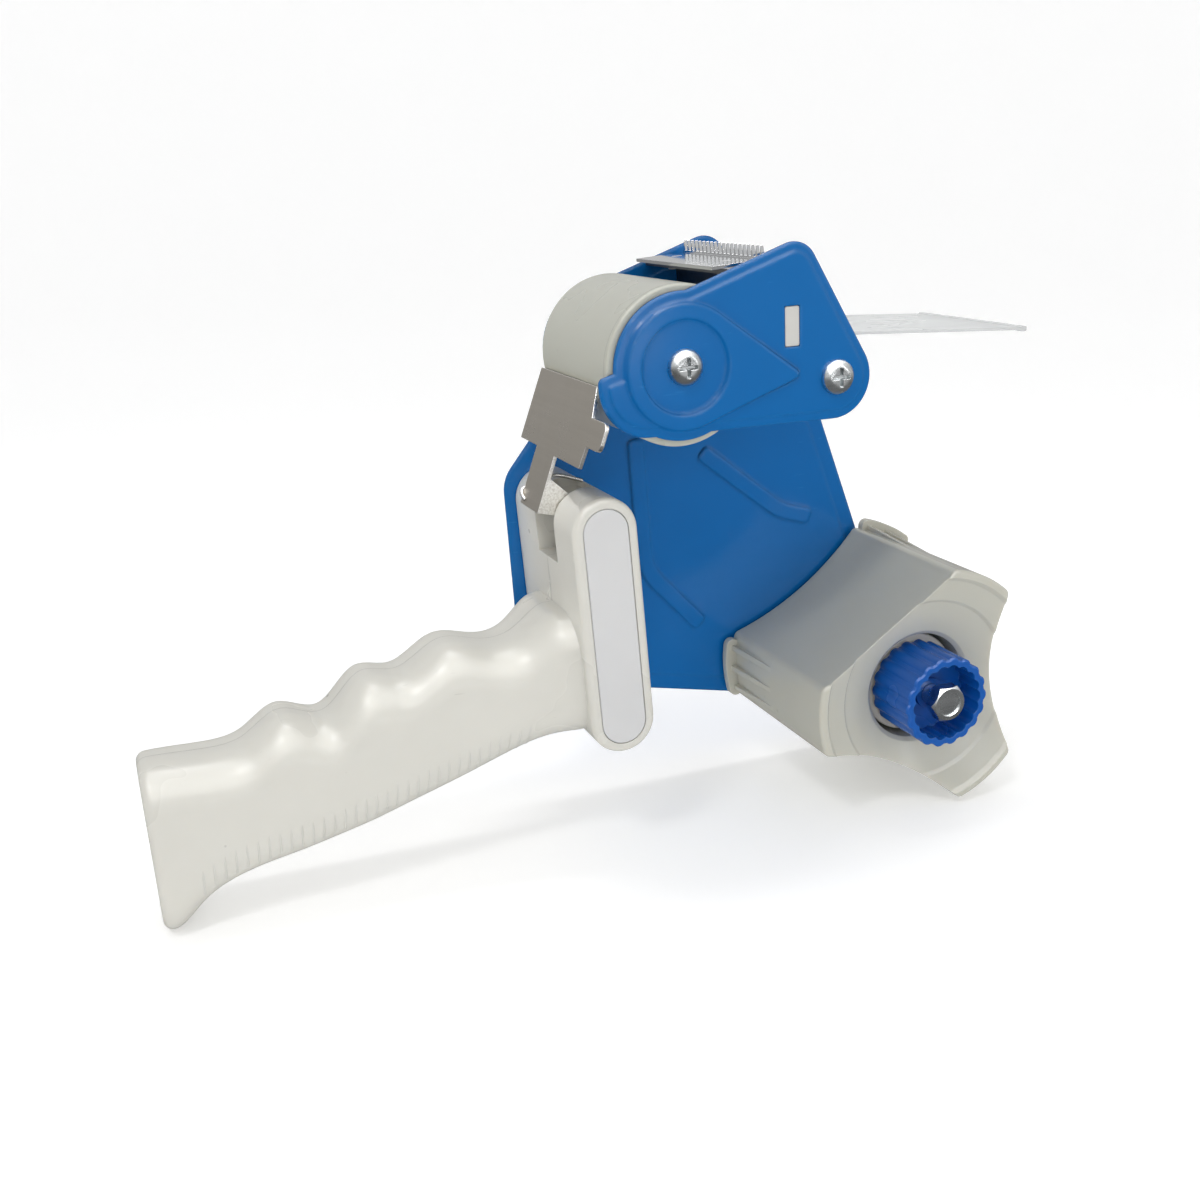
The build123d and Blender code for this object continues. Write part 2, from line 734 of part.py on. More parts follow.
with BuildPart() as hub:
    with BuildSketch(side(hub_front)):
        add(hub_shape)
    extrude(amount=-(hub_back - hub_front))
    fillet(hub.faces().sort_by(Axis.Y)[0].edges(), hub_edge_round)
    with BuildSketch(side(hub_back - hub_flange)):
        add(flange_shape)
    extrude(amount=-hub_flange)
    for lobe in range(lobe_count):
        for step in (-1, 0, 1):
            angle = radians(lobe_angle + lobe_step * lobe + step * grip_rib_step)
            rib_plane = Plane(origin=(0, 0, 0), x_dir=(cos(angle), 0, sin(angle)),
                              z_dir=(-sin(angle), 0, cos(angle)))
            with BuildSketch(rib_plane):
                with BuildLine():
                    Polyline((hub_r - grip_rib_root, grip_rib_start),
                             (hub_r + grip_rib_rise, hub_back - hub_flange),
                             (hub_r - grip_rib_root, hub_back - hub_flange), close=True)
                make_face()
            extrude(amount=grip_rib_width / 2, both=True)
    # Dished front, with the recess of the brake and the bearing bore
    with BuildSketch(hub_plane):
        with BuildLine():
            land_r = hub_r - land_width
            over = hub_front - land_width
            Polyline((0, over), (land_r + land_step, over), (land_r + land_step, hub_front),
                     (land_r, hub_front + land_step), (crease_r + crease_step, crease_depth),
                     (crease_r, crease_depth + crease_step), (recess_r + land_step, dish_depth - land_step / 2),
                     (recess_r, dish_depth + land_step / 2), (recess_r, recess_floor), (0, recess_floor), close=True)
        make_face()
    revolve(axis=hub_line, mode=Mode.SUBTRACT)
    # Hollow back: lobes first, then the space about the bearing boss
    with BuildSketch(side(hub_back)):
        add(hub_inside)
        Circle(recess_r + hub_wall, mode=Mode.SUBTRACT)
        for lobe in range(lobe_count):
            with Locations(polar(lobe_angle + lobe_step * lobe, spoke_middle)):
                Rectangle(hub_r, spoke_width, rotation=lobe_angle + lobe_step * lobe, mode=Mode.SUBTRACT)
    extrude(amount=hub_back - dish_depth - hub_wall, mode=Mode.SUBTRACT)
    with BuildSketch(side(hub_back)):
        Circle(recess_r)
    extrude(amount=hub_back - hub_boss_back, mode=Mode.SUBTRACT)
    with BuildSketch(side(hub_boss_back)):
        Circle(recess_r)
        Circle(hub_boss_r, mode=Mode.SUBTRACT)
        for lobe in range(lobe_count):
            with Locations(polar(lobe_angle + lobe_step * lobe, spoke_middle)):
                Rectangle(hub_r, spoke_width, rotation=lobe_angle + lobe_step * lobe, mode=Mode.SUBTRACT)
    extrude(amount=hub_boss_back - recess_floor - hub_floor, mode=Mode.SUBTRACT)
    with BuildSketch(side(hub_back)):
        Circle(sleeve_r + running_gap)
    extrude(amount=hub_back - recess_floor, mode=Mode.SUBTRACT)

# Hub bolt, nuts, washer and bearing sleeve

with BuildPart(inward(bolt_head_front)) as crown:
    Cylinder(bolt_crown_r, bolt_head, align=(Align.CENTER, Align.CENTER, Align.MIN))
    chamfer(crown.faces().sort_by(Axis.Y)[0].edges(), bolt_crown)

with BuildPart() as hub_bolt:
    with BuildSketch(inward(bolt_head_front)):
        RegularPolygon(bolt_across / 2, 6, major_radius=False)
    extrude(amount=bolt_head)
    add(crown.part, mode=Mode.INTERSECT)
    with BuildSketch(inward(bolt_head_front)):
        Circle(bolt_dish_r)
    extrude(amount=bolt_dish, mode=Mode.SUBTRACT)
    with BuildSketch(inward(bolt_head_front + bolt_head)):
        Circle(bolt_r)
    extrude(amount=bolt_tail - bolt_head_front - bolt_head)
    chamfer(hub_bolt.faces().sort_by(Axis.Y)[-1].edges(), bolt_bevel)

inner_nut_front = plate_gap - nut_thickness
outer_nut_front = back_outer + washer_thickness

with BuildPart() as bolt_nuts:
    for nut_front in (inner_nut_front, outer_nut_front):
        with BuildSketch(inward(nut_front)):
            RegularPolygon(bolt_across / 2, 6, major_radius=False)
            Circle(bolt_r, mode=Mode.SUBTRACT)
        extrude(amount=nut_thickness)

sleeve_front = recess_floor + sleeve_seat
plate_washer = ring_part((0, 0), back_outer, washer_thickness, washer_r, bolt_r + slide_gap)
hub_sleeve = ring_part((0, 0), sleeve_front, inner_nut_front - sleeve_front, sleeve_r, bolt_r + running_gap)

# Brake: thrust washer, spring cup, spring and friction ring

cup_front = knob_back + thrust_thickness
spring_front = cup_front + cup_flange
ring_front = recess_floor - brake_ring_thickness
thrust_washer = ring_part((0, 0), knob_back, thrust_thickness, thrust_r, bolt_r + slide_gap)
friction_ring = ring_part((0, 0), ring_front, brake_ring_thickness, recess_r - brake_ring_gap, brake_ring_inner)

with BuildPart() as spring_cup:
    with BuildSketch(inward(cup_front)):
        Circle(cup_r)
        Circle(bolt_r + slide_gap, mode=Mode.SUBTRACT)
    extrude(amount=cup_flange)
    with BuildSketch(inward(spring_front)):
        Circle(cup_tube_r)
        Circle(cup_tube_r - cup_tube_wall, mode=Mode.SUBTRACT)
    extrude(amount=cup_tube_length)
    fillet(spring_cup.faces().sort_by(Axis.Y)[0].outer_wire().edges(), cup_round)

brake_length = ring_front - spring_front
brake_height = brake_length - 2 * brake_wire_r

with BuildPart() as brake_spring:
    with BuildLine():
        brake_coil = Helix(brake_height / brake_turns, brake_height, brake_coil_r,
                           center=inward(spring_front + brake_wire_r).origin, direction=(0, 1, 0))
    with BuildSketch(Plane(origin=brake_coil @ 0, z_dir=brake_coil % 0)):
        RegularPolygon(brake_wire_r, wire_sides)
    sweep(path=brake_coil)

# Tension knob with its nut


def fluted(margin=0.0):
    """Fluted outline of the knob."""
    with BuildSketch() as outline:
        Circle(knob_r - margin)
        with PolarLocations(knob_r - flute_inset - margin, flute_count):
            Circle(flute_r)
    return outline.sketch


nut_front = knob_back - nut_thickness
knob_shape = fluted()
knob_inside = fluted(margin=knob_wall)

with BuildPart() as tension_knob:
    with BuildSketch(inward(knob_front)):
        add(knob_shape)
    extrude(amount=knob_back - knob_front)
    chamfer(tension_knob.faces().sort_by(Axis.Y)[0].edges(), knob_bevel)
    with BuildSketch(inward(knob_front)):
        add(knob_inside)
    extrude(amount=knob_cup, mode=Mode.SUBTRACT)
    with BuildSketch(side(knob_front + knob_cup)):
        Circle(collar_r)
    extrude(amount=collar_rise)
    with BuildSketch(inward(knob_front)):
        Circle(bolt_r + running_gap)
    extrude(amount=knob_back - knob_front, mode=Mode.SUBTRACT)
    with BuildSketch(inward(nut_front)):
        RegularPolygon(bolt_across / 2, 6, major_radius=False)
    extrude(amount=nut_thickness, mode=Mode.SUBTRACT)

with BuildPart() as knob_nut:
    with BuildSketch(inward(nut_front)):
        RegularPolygon(bolt_across / 2, 6, major_radius=False)
        Circle(bolt_r + running_gap, mode=Mode.SUBTRACT)
    extrude(amount=nut_thickness)

# Every piece is written under its own name

pieces = {
    "front_plate": front_plate,
    "back_plate": back_plate,
    "roller": roller,
    "roller_post": roller_post,
    "spacer_post": spacer_post,
    "front_screws": front_screws,
    "back_screws": back_screws,
    "block_screws": block_screws,
    "tape_guide_beam": tape_guide_beam,
    "wiper_flap": wiper_flap,
    "cutter_blade": cutter_blade,
    "blade_bracket": blade_bracket,
    "blade_rivets": blade_rivets,
    "grip_front_half": grip_front_half,
    "grip_back_half": grip_back_half,
    "grip_screws": grip_screws,
    "grip_cover": grip_cover,
    "retainer_plate": retainer_plate,
    "hinge_pin": hinge_pin,
    "retainer_spring": retainer_spring,
    "hub": hub,
    "hub_bolt": hub_bolt,
    "bolt_nuts": bolt_nuts,
    "plate_washer": plate_washer,
    "hub_sleeve": hub_sleeve,
    "thrust_washer": thrust_washer,
    "spring_cup": spring_cup,
    "brake_spring": brake_spring,
    "friction_ring": friction_ring,
    "tension_knob": tension_knob,
    "knob_nut": knob_nut,
}
leant = {name: piece.part.rotate(hub_line, -stand_lean) for name, piece in pieces.items()}
whole = Compound(list(leant.values())).bounding_box()
to_origin = Location((-whole.center().X, -whole.center().Y, -whole.min.Z))

os.makedirs("parts", exist_ok=True)
for name, part in leant.items():
    standing = part.moved(to_origin)
    standing.label = name
    export_step(standing, f"parts/{name}.step")
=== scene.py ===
"""Looks of a hand dispenser for packing tape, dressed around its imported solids.

Lengths are metres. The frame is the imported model's own: +X from the grip to the hub, +Y from the
front plate to the back plate, +Z up, with the origin on the ground under the middle.
"""
from __future__ import annotations

import json
import logging
from dataclasses import dataclass, replace
from enum import Enum
from math import cos, pi, radians, sin

import bmesh
import bpy
from mathutils import Matrix, Vector
from mathutils.bvhtree import BVHTree

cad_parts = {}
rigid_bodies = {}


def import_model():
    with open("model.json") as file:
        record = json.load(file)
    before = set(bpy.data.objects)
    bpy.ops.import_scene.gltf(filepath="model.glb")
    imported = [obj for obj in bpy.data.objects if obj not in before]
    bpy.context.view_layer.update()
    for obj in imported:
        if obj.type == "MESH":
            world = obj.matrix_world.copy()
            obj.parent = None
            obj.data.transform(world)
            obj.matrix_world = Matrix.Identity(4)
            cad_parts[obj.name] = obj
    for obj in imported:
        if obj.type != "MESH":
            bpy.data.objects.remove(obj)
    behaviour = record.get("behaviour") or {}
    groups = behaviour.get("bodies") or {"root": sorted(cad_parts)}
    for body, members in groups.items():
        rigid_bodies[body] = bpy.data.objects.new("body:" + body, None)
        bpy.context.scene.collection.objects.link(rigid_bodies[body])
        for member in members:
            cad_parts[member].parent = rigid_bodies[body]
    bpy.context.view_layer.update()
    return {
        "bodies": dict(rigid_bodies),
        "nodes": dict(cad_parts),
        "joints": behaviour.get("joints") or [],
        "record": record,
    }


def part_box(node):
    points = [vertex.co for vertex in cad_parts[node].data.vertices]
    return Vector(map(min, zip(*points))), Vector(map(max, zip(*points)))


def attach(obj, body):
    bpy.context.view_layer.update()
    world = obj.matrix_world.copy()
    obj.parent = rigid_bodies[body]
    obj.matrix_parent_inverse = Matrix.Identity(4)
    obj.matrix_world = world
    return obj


LOG = logging.getLogger("dispenser")
MM = 0.001
# Turn about Y from the upright drawing to the model as it rests
LEAN = radians(1.15)
# Millimetres from the front plate's rim to the front of the hub bolt's head
BOLT_HEAD_FRONT = -11.6
# Width of the roller's rim, in millimetres
ROLLER_RIM = 1.6
# Middle band of a noise, where most of its values lie
BAND = (0.3, 0.7)

Colour = tuple[float, float, float]
Place = tuple[float, float, float]
Socket = bpy.types.NodeSocket
Material = bpy.types.Material


class Side(Enum):
    """The two long faces of the dispenser, with the way each one looks along Y."""

    FRONT = -1.0
    BACK = 1.0


class HubFrame:
    """Turns places drawn about the hub axis, in millimetres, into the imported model's frame."""

    def __init__(self) -> None:
        """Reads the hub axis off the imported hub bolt."""
        low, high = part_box("hub_bolt")
        front = low.y - BOLT_HEAD_FRONT * MM
        self.origin = Vector(((low.x + high.x) / 2, front, (low.z + high.z) / 2))

    def at(self, x: float, depth: float, z: float) -> Vector:
        """Gives the place in the model's frame.

        Args:
            x: Millimetres from the hub axis towards the hub's end.
            depth: Millimetres from the front plate's rim towards the back plate.
            z: Millimetres over the hub axis.

        Returns:
            The place in metres.
        """
        turned = (x * cos(LEAN) - z * sin(LEAN), depth, x * sin(LEAN) + z * cos(LEAN))
        return self.origin + Vector(turned) * MM


# Node trees


def rgba(value: object) -> object:
    """Adds an alpha of one to a plain colour, and leaves a socket as it is."""
    return (*value, 1.0) if isinstance(value, tuple) and len(value) == 3 else value


def scaled(colour: Colour, factor: float) -> Colour:
    """Gives the colour lighter or darker by a factor."""
    return tuple(channel * factor for channel in colour)


class Graph:
    """A node tree with short calls that add nodes and wire them."""

    def __init__(self, tree: bpy.types.NodeTree) -> None:
        """Keeps the tree and empties it."""
        self.tree = tree
        tree.nodes.clear()

    def node(self, kind: str, inputs: dict | None = None, **settings: object) -> bpy.types.Node:
        """Adds a node.

        Args:
            kind: The node's type name.
            inputs: Values or sockets by input name or index.
            settings: Properties of the node.

        Returns:
            The new node.
        """
        made = self.tree.nodes.new(kind)
        for name, value in settings.items():
            setattr(made, name, value)
        for name, value in (inputs or {}).items():
            self.feed(made, name, value)
        return made

    def feed(self, node: bpy.types.Node, name: str | int, value: object) -> None:
        """Gives an input of a node a value, or links a socket to it.

        Args:
            node: The node that takes it.
            name: The input's name or index.
            value: A value or a socket.
        """
        if isinstance(value, Socket):
            self.tree.links.new(value, node.inputs[name])
        else:
            node.inputs[name].default_value = value

    def math(self, operation: str, *values: object) -> Socket:
        """Adds a Math node and gives its result."""
        return self.node("ShaderNodeMath", dict(enumerate(values)), operation=operation).outputs[0]

    def remap(self, value: object, span: tuple, target: tuple) -> Socket:
        """Maps a range to another, clamped.

        Args:
            value: The value to map.
            span: The low and high end that it comes from.
            target: The low and high end that it goes to.

        Returns:
            The result.
        """
        inputs = {"Value": value, "From Min": span[0], "From Max": span[1],
                  "To Min": target[0], "To Max": target[1]}
        return self.node("ShaderNodeMapRange", inputs).outputs["Result"]

    def noise(self, place: object, scale: object, detail: float = 4.0, rough: float = 0.55) -> Socket:
        """Adds a noise and gives its value."""
        inputs = {"Vector": place, "Scale": scale, "Detail": detail, "Roughness": rough}
        return self.node("ShaderNodeTexNoise", inputs).outputs["Fac"]

    def mix(self, mask: object, first: object, second: object) -> Socket:
        """Mixes two colours by a mask and gives the result."""
        inputs = {0: mask, 6: rgba(first), 7: rgba(second)}
        return self.node("ShaderNodeMix", inputs, data_type="RGBA").outputs[2]

    def stretch(self, place: object, scale: Place = (1.0, 1.0, 1.0), turn: Place = (0.0, 0.0, 0.0)) -> Socket:
        """Stretches and turns a pattern's coordinates."""
        inputs = {"Vector": place, "Scale": scale, "Rotation": turn}
        return self.node("ShaderNodeMapping", inputs).outputs[0]

    def share(self, mask: Socket, amount: float) -> Socket:
        """Weakens a mask by an amount."""
        return self.math("MULTIPLY", mask, amount)

    def bump(self, height: Socket, strength: float, depth: float, normal: Socket | None = None) -> Socket:
        """Adds a Bump node over the shape's own normal, or over another one.

        Args:
            height: The height of the surface.
            strength: How much of it shows.
            depth: Its depth in metres.
            normal: The normal under it.

        Returns:
            The normal with the bumps.
        """
        inputs = {"Height": height, "Strength": strength, "Distance": depth}
        if normal is not None:
            inputs["Normal"] = normal
        return self.node("ShaderNodeBump", inputs).outputs[0]

    def facing(self, axis: str) -> Socket:
        """Gives how far the surface faces along an axis, either way."""
        normal = self.node("ShaderNodeNewGeometry").outputs["Normal"]
        return self.math("ABSOLUTE", self.node("ShaderNodeSeparateXYZ", {0: normal}).outputs[axis])


# Effects that several finishes share


@dataclass(frozen=True)
class Effect:
    """A shader node group that several finishes place in their materials."""

    name: str
    inputs: tuple[tuple[str, str, float], ...]
    outputs: tuple[tuple[str, str], ...]

    def build(self) -> bpy.types.NodeTree:
        """Makes the group with its sockets and draws it.

        Returns:
            The node group.
        """
        tree = bpy.data.node_groups.new(self.name, "ShaderNodeTree")
        for name, kind, value in self.inputs:
            socket = tree.interface.new_socket(name, in_out="INPUT", socket_type=kind)
            if kind == "NodeSocketFloat":
                socket.default_value = value
        for name, kind in self.outputs:
            tree.interface.new_socket(name, in_out="OUTPUT", socket_type=kind)
        graph = Graph(tree)
        given = graph.node("NodeGroupInput").outputs
        out = graph.node("NodeGroupOutput")
        for name, value in self.draw(graph, given).items():
            graph.feed(out, name, value)
        return tree

    def draw(self, graph: Graph, given: bpy.types.NodeOutputs) -> dict[str, Socket]:
        """Draws the effect; each kind of effect has its own."""
        raise NotImplementedError


@dataclass(frozen=True)
class SoftEdge(Effect):
    """Soft edges: a rounded normal and a mask of the edges."""

    name: str = "soft_edge"
    inputs: tuple = (("Radius", "NodeSocketFloat", 0.0004), ("Reach", "NodeSocketFloat", 0.08))
    outputs: tuple = (("Mask", "NodeSocketFloat"), ("Normal", "NodeSocketVector"))
    least_bend: float = 0.004

    def draw(self, graph: Graph, given: bpy.types.NodeOutputs) -> dict[str, Socket]:
        """Compares the rounded normal with the flat one.

        Args:
            graph: The group's graph.
            given: The group's inputs.

        Returns:
            The outputs by name.
        """
        rounded = graph.node("ShaderNodeBevel", {"Radius": given["Radius"]}, samples=4).outputs[0]
        flat = graph.node("ShaderNodeNewGeometry").outputs["Normal"]
        meet = graph.node("ShaderNodeVectorMath", {0: rounded, 1: flat}, operation="DOT_PRODUCT")
        gap = graph.math("SUBTRACT", 1.0, meet.outputs["Value"])
        mask = graph.remap(gap, (self.least_bend, given["Reach"]), (0.0, 1.0))
        return {"Mask": mask, "Normal": rounded}


@dataclass(frozen=True)
class MouldedGrain(Effect):
    """Fine grain and broad clouds of a moulded or stoved surface."""

    name: str = "moulded_grain"
    inputs: tuple = (("Vector", "NodeSocketVector", 0.0), ("Fine", "NodeSocketFloat", 1400.0),
                     ("Broad", "NodeSocketFloat", 22.0))
    outputs: tuple = (("Cloud", "NodeSocketFloat"), ("Height", "NodeSocketFloat"))
    broad_share: float = 0.6

    def draw(self, graph: Graph, given: bpy.types.NodeOutputs) -> dict[str, Socket]:
        """Adds the fine grain to the broad one.

        Args:
            graph: The group's graph.
            given: The group's inputs.

        Returns:
            The outputs by name.
        """
        fine = graph.noise(given["Vector"], given["Fine"], 2.0)
        broad = graph.noise(given["Vector"], given["Broad"], 3.0)
        height = graph.math("ADD", fine, graph.math("MULTIPLY", broad, self.broad_share))
        return {"Cloud": broad, "Height": height}


@dataclass(frozen=True)
class RolledLines(Effect):
    """Long fine lines of rolled or ground metal, along X of the given vector."""

    name: str = "rolled_lines"
    inputs: tuple = (("Vector", "NodeSocketVector", 0.0), ("Lines", "NodeSocketFloat", 900.0))
    outputs: tuple = (("Line", "NodeSocketFloat"), ("Blotch", "NodeSocketFloat"))
    draw_out: tuple[float, float, float] = (0.03, 1.0, 1.0)
    blotch_scale: float = 90.0

    def draw(self, graph: Graph, given: bpy.types.NodeOutputs) -> dict[str, Socket]:
        """Draws out one noise into lines and leaves one as blotches.

        Args:
            graph: The group's graph.
            given: The group's inputs.

        Returns:
            The outputs by name.
        """
        line = graph.noise(graph.stretch(given["Vector"], self.draw_out), given["Lines"], 3.0)
        return {"Line": line, "Blotch": graph.noise(given["Vector"], self.blotch_scale, 5.0)}


@dataclass(frozen=True)
class ScuffMarks(Effect):
    """Sparse short marks and specks left by use."""

    name: str = "scuff_marks"
    inputs: tuple = (("Vector", "NodeSocketVector", 0.0), ("Amount", "NodeSocketFloat", 0.5))
    outputs: tuple = (("Mark", "NodeSocketFloat"), ("Speck", "NodeSocketFloat"))
    draw_out: tuple[float, float, float] = (0.12, 1.0, 1.0)
    turn: tuple[float, float, float] = (0.2, 0.5, 0.9)
    streak_scale: float = 900.0
    streak_span: tuple[float, float] = (0.70, 0.78)
    patch_scale: float = 38.0
    patch_span: tuple[float, float] = (0.52, 0.62)
    speck_scale: float = 95.0
    speck_span: tuple[float, float] = (0.03, 0.07)
    rare_scale: float = 55.0
    rare_span: tuple[float, float] = (0.58, 0.62)

    def draw(self, graph: Graph, given: bpy.types.NodeOutputs) -> dict[str, Socket]:
        """Keeps streaks inside patches, and dots where a broad noise is high.

        Args:
            graph: The group's graph.
            given: The group's inputs.

        Returns:
            The outputs by name.
        """
        place, amount = given["Vector"], given["Amount"]
        streak = graph.noise(graph.stretch(place, self.draw_out, self.turn), self.streak_scale, 2.0, 0.5)
        patch = graph.noise(place, self.patch_scale, 2.0)
        marks = graph.math("MULTIPLY", graph.remap(streak, self.streak_span, (0.0, 1.0)),
                           graph.remap(patch, self.patch_span, (0.0, 1.0)))
        cells = graph.node("ShaderNodeTexVoronoi", {"Vector": place, "Scale": self.speck_scale})
        dot = graph.remap(cells.outputs["Distance"], self.speck_span, (1.0, 0.0))
        rare = graph.remap(graph.noise(place, self.rare_scale, 1.0), self.rare_span, (0.0, 1.0))
        mark = graph.math("MULTIPLY", marks, amount)
        speck = graph.math("MULTIPLY", graph.math("MULTIPLY", dot, rare), amount)
        return {"Mark": mark, "Speck": speck}


class Effects:
    """The shared effects, each built once."""

    def __init__(self) -> None:
        """Builds each group."""
        self.edge = SoftEdge().build()
        self.grain = MouldedGrain().build()
        self.rolled = RolledLines().build()
        self.scuffs = ScuffMarks().build()


# Finishes


@dataclass(frozen=True)
class Finish:
    """What every finish has: its name and its main colour."""

    name: str
    colour: Colour

    def start(self) -> tuple[Material, Graph, bpy.types.Node, Socket]:
        """Makes the empty material with its surface shader.

        Returns:
            The material, its graph, its shader and the object coordinates.
        """
        material = bpy.data.materials.new(self.name)
        material.use_nodes = True
        graph = Graph(material.node_tree)
        shader = graph.node("ShaderNodeBsdfPrincipled", {"Base Color": rgba(self.colour)})
        graph.node("ShaderNodeOutputMaterial", {"Surface": shader.outputs[0]})
        place = graph.node("ShaderNodeTexCoord").outputs["Object"]
        return material, graph, shader, place

    @staticmethod
    def group(graph: Graph, tree: bpy.types.NodeTree, **inputs: object) -> bpy.types.NodeOutputs:
        """Places an effect in the material with its own values.

        Args:
            graph: The material's graph.
            tree: The effect's node group.
            inputs: Values or sockets by input name.

        Returns:
            The effect's outputs.
        """
        made = graph.node("ShaderNodeGroup", node_tree=tree)
        for name, value in inputs.items():
            graph.feed(made, name, value)
        return made.outputs


@dataclass(frozen=True)
class Enamel(Finish):
    """Stoved gloss enamel on pressed sheet, paler along its edges: partly enamel worn thin, partly a painted
    highlight.
    """

    edge_colour: Colour
    roughness: float = 0.22
    rough_more: float = 0.07
    press: float = 0.0012
    edge_reach: float = 0.30
    edge_share: float = 0.35
    scuffing: float = 0.35
    deep_tone: float = 0.93
    shine: float = 0.34

    def build(self, effects: Effects) -> Material:
        """Makes the material.

        Args:
            effects: The shared effects.

        Returns:
            The material.
        """
        material, graph, shader, place = self.start()
        edge = self.group(graph, effects.edge, Radius=self.press, Reach=self.edge_reach)
        grain = self.group(graph, effects.grain, Vector=place, Fine=420.0, Broad=14.0)
        scuff = self.group(graph, effects.scuffs, Vector=place, Amount=self.scuffing)
        cloud = graph.remap(grain["Cloud"], BAND, (0.0, 1.0))
        base = graph.mix(cloud, scaled(self.colour, self.deep_tone), self.colour)
        # Paler blue along the edges: partly enamel worn thin, partly a painted highlight on the rims
        base = graph.mix(graph.share(edge["Mask"], self.edge_share), base, self.edge_colour)
        base = graph.mix(scuff["Mark"], base, self.edge_colour)
        rough = graph.remap(grain["Cloud"], BAND, (self.roughness, self.roughness + self.rough_more))
        graph.feed(shader, "Base Color", base)
        graph.feed(shader, "Roughness", rough)
        graph.feed(shader, "Normal", graph.bump(grain["Height"], 0.06, 0.0002, edge["Normal"]))
        shader.inputs["Specular IOR Level"].default_value = self.shine
        return material


@dataclass(frozen=True)
class Moulded(Finish):
    """Moulded plastic with a little depth, fine grain, specks and paler edges."""

    edge_colour: Colour
    roughness: float = 0.38
    rough_more: float = 0.08
    marks: float = 0.5
    mark_share: float = 0.35
    mark_tone: float = 0.45
    speck_share: float = 0.8
    speck_colour: Colour = (0.07, 0.06, 0.05)
    depth: float = 0.12
    scatter: Place = (0.004, 0.0032, 0.0024)
    grain: float = 0.10
    edge_width: float = 0.0005
    edge_reach: float = 0.15
    edge_share: float = 0.5
    deep_tone: float = 0.955
    seam: float | None = None
    seam_span: tuple[float, float] = (0.00006, 0.00016)
    seam_share: float = 0.55
    seam_tone: float = 0.3

    def build(self, effects: Effects) -> Material:
        """Makes the material, with a mould seam where one is asked for.

        Args:
            effects: The shared effects.

        Returns:
            The material.
        """
        material, graph, shader, place = self.start()
        edge = self.group(graph, effects.edge, Radius=self.edge_width, Reach=self.edge_reach)
        grain = self.group(graph, effects.grain, Vector=place, Fine=1500.0, Broad=26.0)
        scuff = self.group(graph, effects.scuffs, Vector=place, Amount=self.marks)
        cloud = graph.remap(grain["Cloud"], BAND, (0.0, 1.0))
        base = graph.mix(cloud, scaled(self.colour, self.deep_tone), self.colour)
        base = graph.mix(graph.share(edge["Mask"], self.edge_share), base, self.edge_colour)
        mark = graph.share(scuff["Mark"], self.mark_share)
        base = graph.mix(mark, base, scaled(self.colour, self.mark_tone))
        base = graph.mix(graph.share(scuff["Speck"], self.speck_share), base, self.speck_colour)
        if self.seam is not None:
            base = self._seam(graph, place, base)
        rough = graph.remap(grain["Cloud"], BAND, (self.roughness, self.roughness + self.rough_more))
        graph.feed(shader, "Base Color", base)
        graph.feed(shader, "Roughness", rough)
        graph.feed(shader, "Normal", graph.bump(grain["Height"], self.grain, 0.0001, edge["Normal"]))
        shader.inputs["Subsurface Weight"].default_value = self.depth
        shader.inputs["Subsurface Radius"].default_value = self.scatter
        shader.inputs["Subsurface Scale"].default_value = 1.0
        return material

    def _seam(self, graph: Graph, place: Socket, base: Socket) -> Socket:
        """Draws the seam's dark line across the colour, at its place along Y.

        Args:
            graph: The material's graph.
            place: The object coordinates.
            base: The colour so far.

        Returns:
            The colour with the line.
        """
        across = graph.node("ShaderNodeSeparateXYZ", {0: place}).outputs["Y"]
        gap = graph.math("ABSOLUTE", graph.math("SUBTRACT", across, self.seam))
        line = graph.remap(gap, self.seam_span, (self.seam_share, 0.0))
        return graph.mix(line, base, scaled(self.colour, self.seam_tone))


